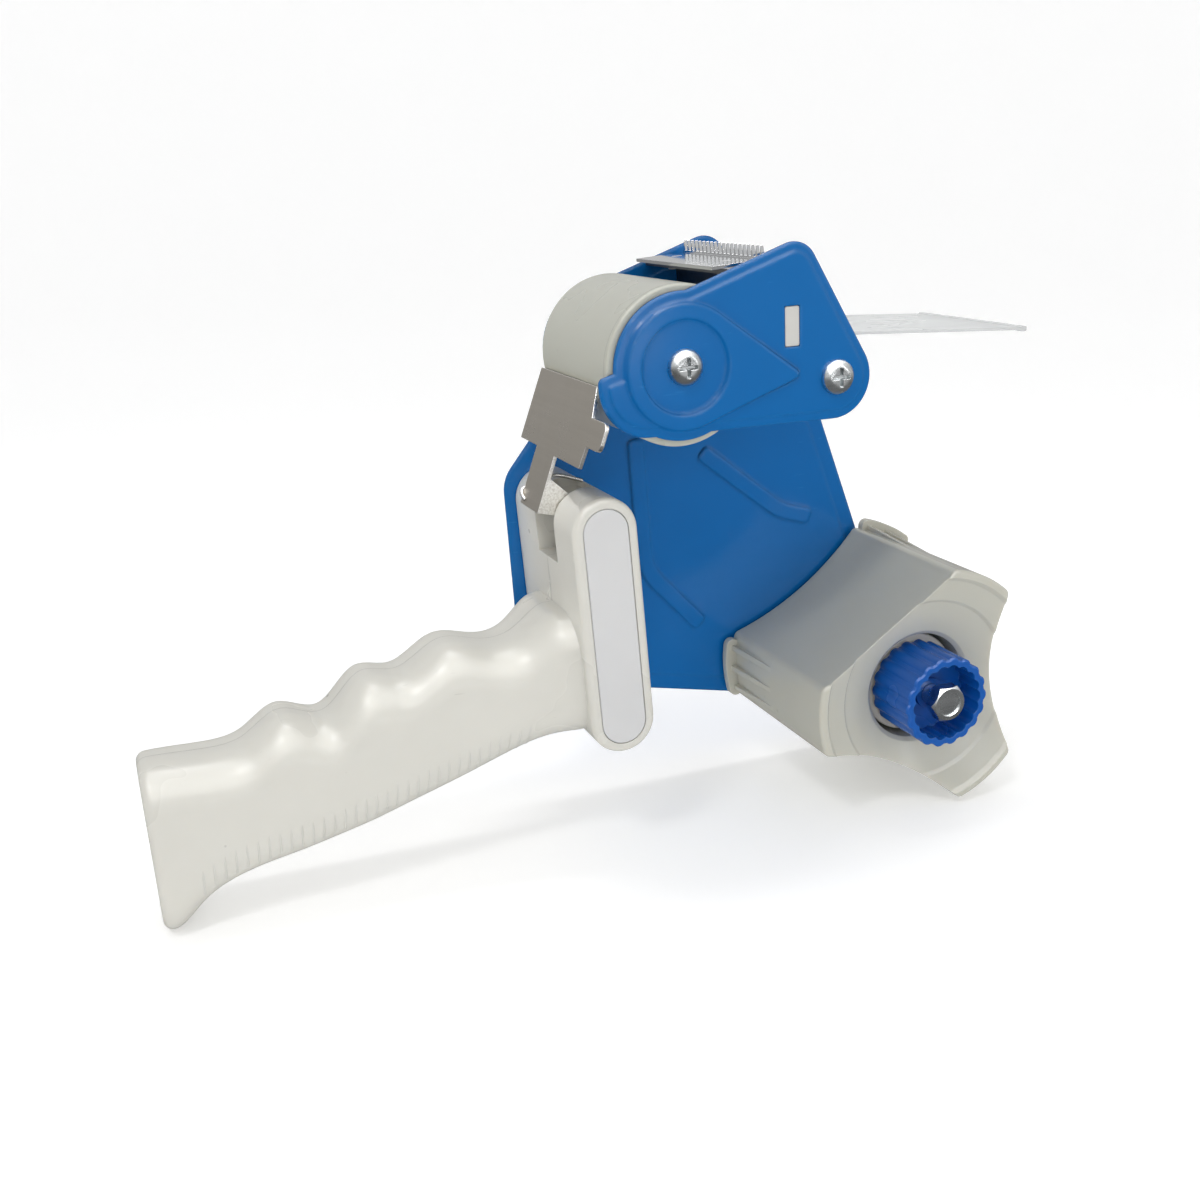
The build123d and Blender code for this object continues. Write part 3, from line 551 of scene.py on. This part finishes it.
@dataclass(frozen=True)
class BareMetal(Finish):
    """Ground, rolled or plated metal with fine lines and a bright or dull cut edge."""

    edge_colour: Colour
    roughness: float = 0.25
    rough_share: tuple[float, float] = (0.8, 1.3)
    lines: float = 900.0
    line_turn: Place = (0.0, 0.0, 0.0)
    line_span: tuple[float, float] = (0.35, 0.65)
    line_depth: float = 0.12
    wear: float = 0.5
    mark_share: float = 0.6
    mark_tone: float = 0.5
    edge_width: float = 0.0003
    edge_reach: float = 0.12
    cut: float = 0.0
    cut_span: tuple[float, float] = (0.75, 0.9)
    burr_scale: float = 1600.0
    burr_span: tuple[float, float] = (0.3, 0.6)
    burr_least: float = 0.45

    def build(self, effects: Effects) -> Material:
        """Makes the material.

        Args:
            effects: The shared effects.

        Returns:
            The material.
        """
        material, graph, shader, place = self.start()
        edge = self.group(graph, effects.edge, Radius=self.edge_width, Reach=self.edge_reach)
        turned = graph.stretch(place, turn=self.line_turn)
        rolled = self.group(graph, effects.rolled, Vector=turned, Lines=self.lines)
        scuff = self.group(graph, effects.scuffs, Vector=place, Amount=self.wear)
        line = graph.remap(rolled["Line"], self.line_span, (0.0, 1.0))
        base = graph.mix(line, scaled(self.colour, 1.0 - self.line_depth), self.colour)
        base = graph.mix(edge["Mask"], base, self.edge_colour)
        if self.cut:
            base = self._cut_edge(graph, place, base)
        mark = graph.share(scuff["Mark"], self.mark_share)
        base = graph.mix(mark, base, scaled(self.colour, self.mark_tone))
        smoothest, roughest = (self.roughness * share for share in self.rough_share)
        graph.feed(shader, "Base Color", base)
        graph.feed(shader, "Roughness", graph.remap(rolled["Blotch"], BAND, (smoothest, roughest)))
        graph.feed(shader, "Normal", graph.bump(rolled["Line"], self.line_depth, 0.00005, edge["Normal"]))
        shader.inputs["Metallic"].default_value = 1.0
        return material

    def _cut_edge(self, graph: Graph, place: Socket, base: Socket) -> Socket:
        """Brightens the sheared edges, which face along Y, with a broken burr.

        Args:
            graph: The material's graph.
            place: The object coordinates.
            base: The colour so far.

        Returns:
            The colour with the bright edges.
        """
        sheared = graph.remap(graph.facing("Y"), self.cut_span, (0.0, self.cut))
        burr = graph.remap(graph.noise(place, self.burr_scale), self.burr_span, (self.burr_least, 1.0))
        return graph.mix(graph.math("MULTIPLY", sheared, burr), base, self.edge_colour)


@dataclass(frozen=True)
class ClearSheet(Finish):
    """Clear stiff plastic sheet, milky inside, with darker cut edges."""

    edge_colour: Colour = (0.56, 0.57, 0.57)
    edge_span: tuple[float, float] = (0.5, 0.8)
    roughness: tuple[float, float] = (0.22, 0.34)
    cover: float = 0.62

    def build(self, effects: Effects) -> Material:
        """Makes the material.

        Args:
            effects: The shared effects.

        Returns:
            The material.
        """
        material, graph, shader, place = self.start()
        grain = self.group(graph, effects.grain, Vector=place, Fine=900.0, Broad=30.0)
        sawn = graph.remap(graph.facing("Z"), self.edge_span, (1.0, 0.0))
        graph.feed(shader, "Base Color", graph.mix(sawn, self.colour, self.edge_colour))
        graph.feed(shader, "Roughness", graph.remap(grain["Cloud"], BAND, self.roughness))
        shader.inputs["Alpha"].default_value = self.cover
        return material


@dataclass(frozen=True)
class Felt(Finish):
    """Pressed felt with short fibres."""

    fibres: float = 2600.0
    fibre_span: tuple[float, float] = (0.35, 0.65)
    deep_tone: float = 0.6
    roughness: float = 0.95
    fuzz: float = 0.4

    def build(self, effects: Effects) -> Material:
        """Makes the material, which uses none of the shared effects.

        Args:
            effects: The shared effects, not used here.

        Returns:
            The material.
        """
        material, graph, shader, place = self.start()
        fibre = graph.noise(place, self.fibres, 6.0, 0.7)
        shade = graph.remap(fibre, self.fibre_span, (0.0, 1.0))
        graph.feed(shader, "Base Color", graph.mix(shade, scaled(self.colour, self.deep_tone), self.colour))
        graph.feed(shader, "Normal", graph.bump(fibre, 0.6, 0.0003))
        shader.inputs["Roughness"].default_value = self.roughness
        shader.inputs["Sheen Weight"].default_value = self.fuzz
        return material


ACROSS = (0.0, 0.0, pi / 2)
FINISHES: tuple[Finish, ...] = (
    # Each plate's second colour is the paler blue of its edges: worn enamel and painted highlight in one
    Enamel("plate_blue", (0.002, 0.118, 0.365), (0.03, 0.24, 0.58), roughness=0.12),
    Enamel("plate_blue_back", (0.003, 0.134, 0.425), (0.03, 0.24, 0.56), roughness=0.14, press=0.0018),
    Moulded("roller_white", (0.435, 0.44, 0.385), (0.56, 0.55, 0.50), roughness=0.24, marks=0.2),
    BareMetal("post_steel", (0.55, 0.55, 0.55), (0.7, 0.7, 0.7), roughness=0.3),
    BareMetal("screw_zinc", (0.80, 0.83, 0.84), (0.95, 0.96, 0.97), roughness=0.26, lines=420.0, wear=0.7,
              line_depth=0.30, edge_width=0.0002),
    Moulded("beam_grey", (0.56, 0.55, 0.52), (0.64, 0.63, 0.60), marks=0.2),
    ClearSheet("flap_clear", (0.84, 0.86, 0.86)),
    BareMetal("blade_steel", (0.66, 0.67, 0.68), (0.95, 0.95, 0.95), roughness=0.08, lines=1400.0,
              line_turn=ACROSS, line_depth=0.05, edge_width=0.00006),
    # Much darker than the other steel: the bracket's colour carries painted shade for the dark cavity under
    # the blade
    BareMetal("bracket_steel", (0.16, 0.16, 0.17), (0.35, 0.35, 0.36), roughness=0.35),
    Moulded("grip_ivory", (0.63, 0.62, 0.57), (0.73, 0.72, 0.67), roughness=0.25, marks=0.9),
    Moulded("cover_grey", (0.60, 0.60, 0.60), (0.66, 0.66, 0.66), roughness=0.42, marks=0.2),
    BareMetal("retainer_steel", (0.46, 0.425, 0.37), (0.96, 0.95, 0.92), roughness=0.30, lines=700.0,
              line_turn=ACROSS, wear=1.0, cut=1.0, line_depth=0.05),
    BareMetal("pin_steel", (0.62, 0.61, 0.60), (0.85, 0.85, 0.85), roughness=0.2),
    Moulded("hub_beige", (0.505, 0.50, 0.44), (0.63, 0.62, 0.565), roughness=0.15, marks=0.2, depth=0.3),
    BareMetal("sleeve_steel", (0.5, 0.5, 0.5), (0.7, 0.7, 0.7)),
    Moulded("cup_grey", (0.55, 0.53, 0.49), (0.62, 0.60, 0.56), marks=0.1),
    Felt("friction_felt", (0.05, 0.048, 0.045)),
    Moulded("knob_blue", (0.002, 0.085, 0.375), (0.02, 0.17, 0.60), roughness=0.22, marks=0.1, depth=0.05,
            grain=0.05),
)


def build_finishes(effects: Effects) -> dict[str, Material]:
    """Makes every material, with the grip's mould seam and the line at the roller's rim in place.

    Args:
        effects: The shared effects.

    Returns:
        The materials by the name of their slot.
    """
    seams = {"grip_ivory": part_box("grip_front_half")[1].y,
             "roller_white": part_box("roller")[0].y + ROLLER_RIM * MM}
    made: dict[str, Material] = {}
    for finish in FINISHES:
        placed = replace(finish, seam=seams[finish.name]) if finish.name in seams else finish
        made[finish.name] = placed.build(effects)
    return made


# Pieces


def link(name: str, data: bpy.types.ID) -> bpy.types.Object:
    """Makes an object of some data and links it to the scene.

    Args:
        name: The object's name.
        data: Its mesh, curve, light or camera.

    Returns:
        The new object.
    """
    made = bpy.data.objects.new(name, data)
    bpy.context.scene.collection.objects.link(made)
    return made


def plain_mesh(holder: bpy.types.Object) -> bpy.types.Mesh:
    """Evaluates an object into a plain mesh and removes the object.

    Args:
        holder: The object with its curve or modifier.

    Returns:
        The plain mesh.
    """
    bpy.context.view_layer.update()
    mesh = bpy.data.meshes.new_from_object(holder.evaluated_get(bpy.context.evaluated_depsgraph_get()))
    bpy.data.objects.remove(holder)
    return mesh


def smooth(mesh: bpy.types.Mesh) -> bpy.types.Mesh:
    """Shades every face smooth and gives the mesh back."""
    mesh.polygons.foreach_set("use_smooth", [True] * len(mesh.polygons))
    return mesh


def piece(name: str, mesh: bpy.types.Mesh, material: Material, body: str) -> None:
    """Links a finished mesh as a piece of the dispenser.

    Args:
        name: The piece's name.
        mesh: Its mesh, in place.
        material: What it is made of.
        body: The body it moves with.
    """
    mesh.name = name
    mesh.materials.clear()
    mesh.materials.append(material)
    made = link(name, mesh)
    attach(made, body)
    LOG.info("%s: %d faces on %s", name, len(mesh.polygons), body)


class GeometryTree(Graph):
    """A geometry node tree with named sizes, run once on a mesh and made plain."""

    def __init__(self, name: str, sizes: dict[str, float]) -> None:
        """Makes the tree with a geometry input and one named input for each size.

        Args:
            name: The tree's name.
            sizes: The sizes' values by name.
        """
        super().__init__(bpy.data.node_groups.new(name, "GeometryNodeTree"))
        for way in ("INPUT", "OUTPUT"):
            self.tree.interface.new_socket("Geometry", in_out=way, socket_type="NodeSocketGeometry")
        for size, value in sizes.items():
            socket = self.tree.interface.new_socket(size, in_out="INPUT", socket_type="NodeSocketFloat")
            socket.default_value = value
        self.sizes = sizes
        self.given = self.node("NodeGroupInput").outputs

    def finish(self, shape: Socket, material: Material) -> None:
        """Ends the tree in Realize Instances and Set Material.

        Args:
            shape: The finished geometry.
            material: What it is made of.
        """
        real = self.node("GeometryNodeRealizeInstances", {0: shape}).outputs[0]
        dressed = self.node("GeometryNodeSetMaterial", {"Geometry": real, "Material": material}).outputs[0]
        self.node("NodeGroupOutput", {0: dressed})

    def run(self, start: bpy.types.Mesh) -> bpy.types.Mesh:
        """Runs the tree on a mesh.

        Args:
            start: The mesh that the tree gets.

        Returns:
            The result as a plain mesh.
        """
        holder = link("making", start)
        modifier = holder.modifiers.new("making", "NODES")
        modifier.node_group = self.tree
        for item in self.tree.interface.items_tree:
            if item.in_out == "INPUT" and item.name in self.sizes:
                modifier[item.identifier] = self.sizes[item.name]
        return plain_mesh(holder)


@dataclass
class Grip:
    """The moulded grip: rows of fine ribs along its lower edge on both sides, in millimetres."""

    frame: HubFrame
    material: Material
    rib_first: float = -209.0
    rib_last: float = -119.0
    rib_pitch: float = 2.9
    rib_level: float = -10.0
    rib_length: float = 8.0
    rib_radius: float = 0.36
    rib_rise: float = -0.18
    rib_start: float = -2.0
    rib_points: int = 14
    rib_sides: int = 8
    fade_span: tuple[float, float] = (0.55, 1.0)
    fade_to: float = 0.25
    inset_share: float = 0.55
    cast_margin: float = 50.0
    cast_length: float = 200.0

    def build(self) -> None:
        """Makes the ribs of both sides."""
        for side, node, name in ((Side.FRONT, "grip_front_half", "grip_ribs_front"),
                                 (Side.BACK, "grip_back_half", "grip_ribs_back")):
            starts = self._starts(side, node)
            mesh = self._tree(side, node).run(starts)
            piece(name, mesh, self.material, "frame")

    def _starts(self, side: Side, node: str) -> bpy.types.Mesh:
        """Finds where each rib starts, outside the half and level with its lower edge.

        Args:
            side: The face that carries the ribs.
            node: The half's node.

        Returns:
            A mesh of loose points.
        """
        half = bpy.data.objects[node].data
        corners = [v.co.copy() for v in half.vertices]
        surface = BVHTree.FromPolygons(corners, [tuple(p.vertices) for p in half.polygons])
        low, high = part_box(node)
        middle = low.y if side is Side.BACK else high.y
        across = middle + side.value * self.inset_share * (high.y - low.y)
        starts: list[Vector] = []
        for index in range(int((self.rib_last - self.rib_first) / self.rib_pitch) + 1):
            x = self.frame.at(self.rib_first + index * self.rib_pitch, 0.0, self.rib_level).x
            below = Vector((x, across, low.z - self.cast_margin * MM))
            hit = surface.ray_cast(below, Vector((0.0, 0.0, 1.0)))[0]
            if hit is not None:
                starts.append(Vector((x, middle + side.value * self.cast_margin * MM, hit.z)))
        mesh = bpy.data.meshes.new("rib_starts")
        mesh.from_pydata(starts, [], [])
        return mesh

    def _tree(self, side: Side, node: str) -> GeometryTree:
        """Draws the tree that lays a short line on the half at each start and makes it a rib.

        Args:
            side: The face that carries the ribs.
            node: The half's node.

        Returns:
            The tree, ready to run.
        """
        sizes = {"Length": self.rib_length * MM, "Radius": self.rib_radius * MM, "Rise": self.rib_rise * MM}
        tree = GeometryTree("grip_rib_row", sizes)
        end = tree.node("ShaderNodeCombineXYZ", {"Z": tree.given["Length"]}).outputs[0]
        start = (0.0, 0.0, self.rib_start * MM)
        line = tree.node("GeometryNodeCurvePrimitiveLine", {"Start": start, "End": end}, mode="POINTS")
        fine = tree.node("GeometryNodeResampleCurve", {"Curve": line.outputs[0], "Count": self.rib_points})
        points = {"Points": tree.given["Geometry"], "Instance": fine.outputs[0]}
        rows = tree.node("GeometryNodeInstanceOnPoints", points).outputs[0]
        loose = tree.node("GeometryNodeRealizeInstances", {0: rows}).outputs[0]
        laid = self._laid(tree, loose, side, node)
        along = tree.node("GeometryNodeSplineParameter").outputs["Factor"]
        fade = tree.remap(along, self.fade_span, (1.0, self.fade_to))
        round_wire = {"Resolution": self.rib_sides, "Radius": tree.given["Radius"]}
        ring = tree.node("GeometryNodeCurvePrimitiveCircle", round_wire).outputs[0]
        swept = {"Curve": laid, "Profile Curve": ring, "Scale": fade, "Fill Caps": True}
        tube = tree.node("GeometryNodeCurveToMesh", swept).outputs[0]
        tree.finish(tree.node("GeometryNodeSetShadeSmooth", {"Geometry": tube}).outputs[0], self.material)
        return tree

    def _laid(self, tree: GeometryTree, loose: Socket, side: Side, node: str) -> Socket:
        """Casts the lines across onto the half and sinks them by the rise.

        Args:
            tree: The tree that is being drawn.
            loose: The lines beside the half.
            side: The face that carries the ribs.
            node: The half's node.

        Returns:
            The lines on the surface, without the points that miss it.
        """
        half = {"Object": bpy.data.objects[node]}
        target = tree.node("GeometryNodeObjectInfo", half, transform_space="ORIGINAL").outputs["Geometry"]
        ray = {"Target Geometry": target, "Ray Direction": (0.0, -side.value, 0.0),
               "Ray Length": self.cast_length * MM}
        cast = tree.node("GeometryNodeRaycast", ray).outputs
        missed = tree.node("FunctionNodeBooleanMath", {0: cast["Is Hit"]}, operation="NOT").outputs[0]
        normal = {0: cast["Hit Normal"], "Scale": tree.given["Rise"]}
        rise = tree.node("ShaderNodeVectorMath", normal, operation="SCALE").outputs[0]
        raised = {0: cast["Hit Position"], 1: rise}
        place = tree.node("ShaderNodeVectorMath", raised, operation="ADD").outputs[0]
        misses = {"Geometry": loose, "Selection": missed}
        kept = tree.node("GeometryNodeDeleteGeometry", misses, domain="POINT").outputs[0]
        return tree.node("GeometryNodeSetPosition", {"Geometry": kept, "Position": place}).outputs[0]


@dataclass
class RetainerSpring:
    """The two bent legs of the coil spring at the retainer plate's hinge, in millimetres."""

    frame: HubFrame
    material: Material
    wire_radius: float = 0.55
    bevel_steps: int = 3
    curve_steps: int = 6
    inner_leg: tuple[Place, ...] = ((-103.3, 25.3, 66.6), (-104.0, 25.8, 70.8), (-103.9, 27.0, 73.6),
                                    (-102.0, 27.6, 73.8), (-98.0, 28.0, 72.5), (-94.2, 28.3, 71.0))
    outer_leg: tuple[Place, ...] = ((-101.4, 31.6, 68.4), (-102.8, 34.0, 69.0), (-105.4, 37.0, 69.2),
                                    (-108.4, 37.1, 69.4), (-109.9, 35.6, 68.0), (-109.4, 33.2, 66.6))

    def build(self) -> None:
        """Makes both legs."""
        for name, leg in (("spring_leg_inner", self.inner_leg), ("spring_leg_outer", self.outer_leg)):
            mesh = self._wire([self.frame.at(*place) for place in leg])
            piece(name, mesh, self.material, "retainer")

    def _wire(self, route: list[Vector]) -> bpy.types.Mesh:
        """Makes a round wire along a smooth route.

        Args:
            route: Places that the wire passes near.

        Returns:
            The closed mesh.
        """
        curve = bpy.data.curves.new("wire", "CURVE")
        curve.dimensions = "3D"
        spline = curve.splines.new("NURBS")
        spline.points.add(len(route) - 1)
        for point, place in zip(spline.points, route):
            point.co = (*place, 1.0)
        spline.order_u = 3
        spline.use_endpoint_u = True
        curve.resolution_u = self.curve_steps
        curve.bevel_depth = self.wire_radius * MM
        curve.bevel_resolution = self.bevel_steps
        curve.use_fill_caps = True
        return smooth(plain_mesh(link("wire", curve)))


# Studio


@dataclass(frozen=True)
class Lamp:
    """A soft rectangular light: its place and size in metres and its power in watts."""

    name: str
    place: Place
    size: tuple[float, float]
    power: float

    def build(self, target: Vector) -> None:
        """Makes the light and turns it to the target.

        Args:
            target: The place that it looks at.
        """
        data = bpy.data.lights.new(self.name, "AREA")
        data.shape = "RECTANGLE"
        data.size, data.size_y = self.size
        data.energy = self.power
        light = link(self.name, data)
        light.location = self.place
        light.rotation_euler = (target - Vector(self.place)).to_track_quat("-Z", "Y").to_euler()


@dataclass
class Floor:
    """The pale floor, which bends up into a round wall. It isn't part of the dispenser."""

    flat: float = 1.3
    bend: float = 0.9
    wall: float = 1.4
    sides: int = 64
    steps: int = 12
    merge: float = 1e-5
    tone: float = 0.955
    glow: float = 0.205
    roughness: float = 0.8

    def build(self) -> None:
        """Makes the floor and its material."""
        floor = link("floor", self._mesh())
        floor.data.materials.append(self._material())
        floor.visible_glossy = False

    def _mesh(self) -> bpy.types.Mesh:
        """Turns the profile about the middle.

        Returns:
            The floor's mesh.
        """
        mesh = bpy.data.meshes.new("floor")
        profile = [(0.0, 0.0), (self.flat, 0.0)]
        for step in range(1, self.steps + 1):
            angle = pi / 2 * step / self.steps
            profile.append((self.flat + self.bend * sin(angle), self.bend * (1 - cos(angle))))
        profile.append((self.flat + self.bend, self.wall))
        shape = bmesh.new()
        ring = [shape.verts.new((radius, 0.0, height)) for radius, height in profile]
        edges = [shape.edges.new(pair) for pair in zip(ring, ring[1:])]
        bmesh.ops.spin(shape, geom=ring + edges, cent=(0, 0, 0), axis=(0, 0, 1), angle=2 * pi,
                       steps=self.sides)
        bmesh.ops.remove_doubles(shape, verts=shape.verts, dist=self.merge)
        bmesh.ops.recalc_face_normals(shape, faces=shape.faces)
        shape.to_mesh(mesh)
        shape.free()
        return smooth(mesh)

    def _material(self) -> Material:
        """Makes the matt floor, with a faint glow that keeps the wall white.

        Returns:
            The material.
        """
        material = bpy.data.materials.new("floor_pale")
        material.use_nodes = True
        shader = material.node_tree.nodes["Principled BSDF"]
        shader.inputs["Base Color"].default_value = (self.tone, self.tone, self.tone, 1.0)
        shader.inputs["Roughness"].default_value = self.roughness
        shader.inputs["Emission Color"].default_value = (1.0, 1.0, 1.0, 1.0)
        shader.inputs["Emission Strength"].default_value = self.glow
        return material


@dataclass
class Surround:
    """The white surround. Gloss sees it dark low down, bright overhead and brighter in one panel."""

    strength: float = 0.55
    gloss: tuple[float, float] = (0.15, 1.25)
    gloss_heights: tuple[float, float] = (-0.30, 0.85)
    panel_way: tuple[float, float, float] = (-0.08, -0.48, 0.87)
    panel_span: tuple[float, float] = (0.75, 0.85)
    panel: float = 4.2

    def build(self) -> None:
        """Makes the world."""
        world = bpy.data.worlds.new("studio")
        world.use_nodes = True
        graph = Graph(world.node_tree)
        way = graph.node("ShaderNodeTexCoord").outputs["Generated"]
        height = graph.node("ShaderNodeSeparateXYZ", {0: way}).outputs["Z"]
        faced = graph.node("ShaderNodeVectorMath", {0: way, 1: self.panel_way}, operation="DOT_PRODUCT")
        panel = graph.remap(faced.outputs["Value"], self.panel_span, (0.0, self.panel))
        seen = graph.math("ADD", graph.remap(height, self.gloss_heights, self.gloss), panel)
        glossy = graph.node("ShaderNodeLightPath").outputs["Is Glossy Ray"]
        more = graph.math("SUBTRACT", seen, self.strength)
        strength = graph.math("MULTIPLY_ADD", glossy, more, self.strength)
        light = graph.node("ShaderNodeBackground", {"Color": (1.0, 1.0, 1.0, 1.0), "Strength": strength})
        graph.node("ShaderNodeOutputWorld", {"Surface": light.outputs[0]})
        bpy.context.scene.world = world


@dataclass
class Camera:
    """The camera at the photograph's place, in millimetres about the hub axis."""

    place: Place = (-216.54365, -310.25231, 153.15834)
    right: Place = (0.92996, -0.36369, -0.05391)
    up: Place = (0.16049, 0.26963, 0.94949)
    lens_pixels: float = 1335.7191
    frame_pixels: float = 1200.0
    sensor: float = 36.0
    near: float = 0.01

    def build(self, frame: HubFrame) -> None:
        """Makes the camera and turns it with the dispenser's lean.

        Args:
            frame: The hub's frame.
        """
        data = bpy.data.cameras.new("camera")
        data.sensor_width = self.sensor
        data.lens = self.sensor * self.lens_pixels / self.frame_pixels
        data.clip_start = self.near
        turn = Matrix.Rotation(-LEAN, 3, "Y")
        right = (turn @ Vector(self.right)).normalized()
        up = (turn @ Vector(self.up)).normalized()
        axes = Matrix((right, up, right.cross(up))).transposed().to_4x4()
        camera = link("camera", data)
        camera.matrix_world = Matrix.Translation(frame.at(*self.place)) @ axes
        bpy.context.scene.camera = camera


@dataclass
class Studio:
    """Pale floor, soft lights, white surround and the camera."""

    target: Place = (0.0, 0.0, 0.08)
    lamps: tuple[Lamp, ...] = (
        Lamp("key", (-0.42, -0.40, 0.78), (0.16, 0.16), 1.4),
        Lamp("overhead", (0.02, 0.10, 0.95), (0.45, 0.10), 1.4),
        Lamp("fill", (0.62, -0.70, 0.34), (0.10, 0.50), 0.55),
        Lamp("low", (0.10, -0.85, 0.06), (0.50, 0.05), 0.35),
        Lamp("glint", (-0.42, -0.92, 0.46), (0.10, 0.10), 0.5),
    )

    def build(self, frame: HubFrame) -> None:
        """Makes the floor, the lights, the surround and the camera.

        Args:
            frame: The hub's frame.
        """
        Floor().build()
        for lamp in self.lamps:
            lamp.build(Vector(self.target))
        Surround().build()
        bpy.context.scene.view_settings.view_transform = "Standard"
        Camera().build(frame)


def dress_nodes(nodes: dict[str, bpy.types.Object], record: dict, materials: dict[str, Material]) -> None:
    """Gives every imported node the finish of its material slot.

    Args:
        nodes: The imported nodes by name.
        record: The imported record.
        materials: The materials by slot.
    """
    for entry in record["subparts"]:
        node = nodes[entry["node"]]
        finish = materials[entry["material_slot"]]
        for slot in node.material_slots:
            slot.material = finish
        LOG.info("%s dressed as %s", node.name, finish.name)


def main() -> None:
    """Builds the dispenser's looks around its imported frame."""
    logging.basicConfig(level=logging.INFO, format="%(message)s")
    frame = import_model()
    place = HubFrame()
    materials = build_finishes(Effects())
    Studio().build(place)
    dress_nodes(frame["nodes"], frame["record"], materials)
    Grip(place, materials["grip_ivory"]).build()
    RetainerSpring(place, materials["pin_steel"]).build()


if __name__ == "__main__":
    main()
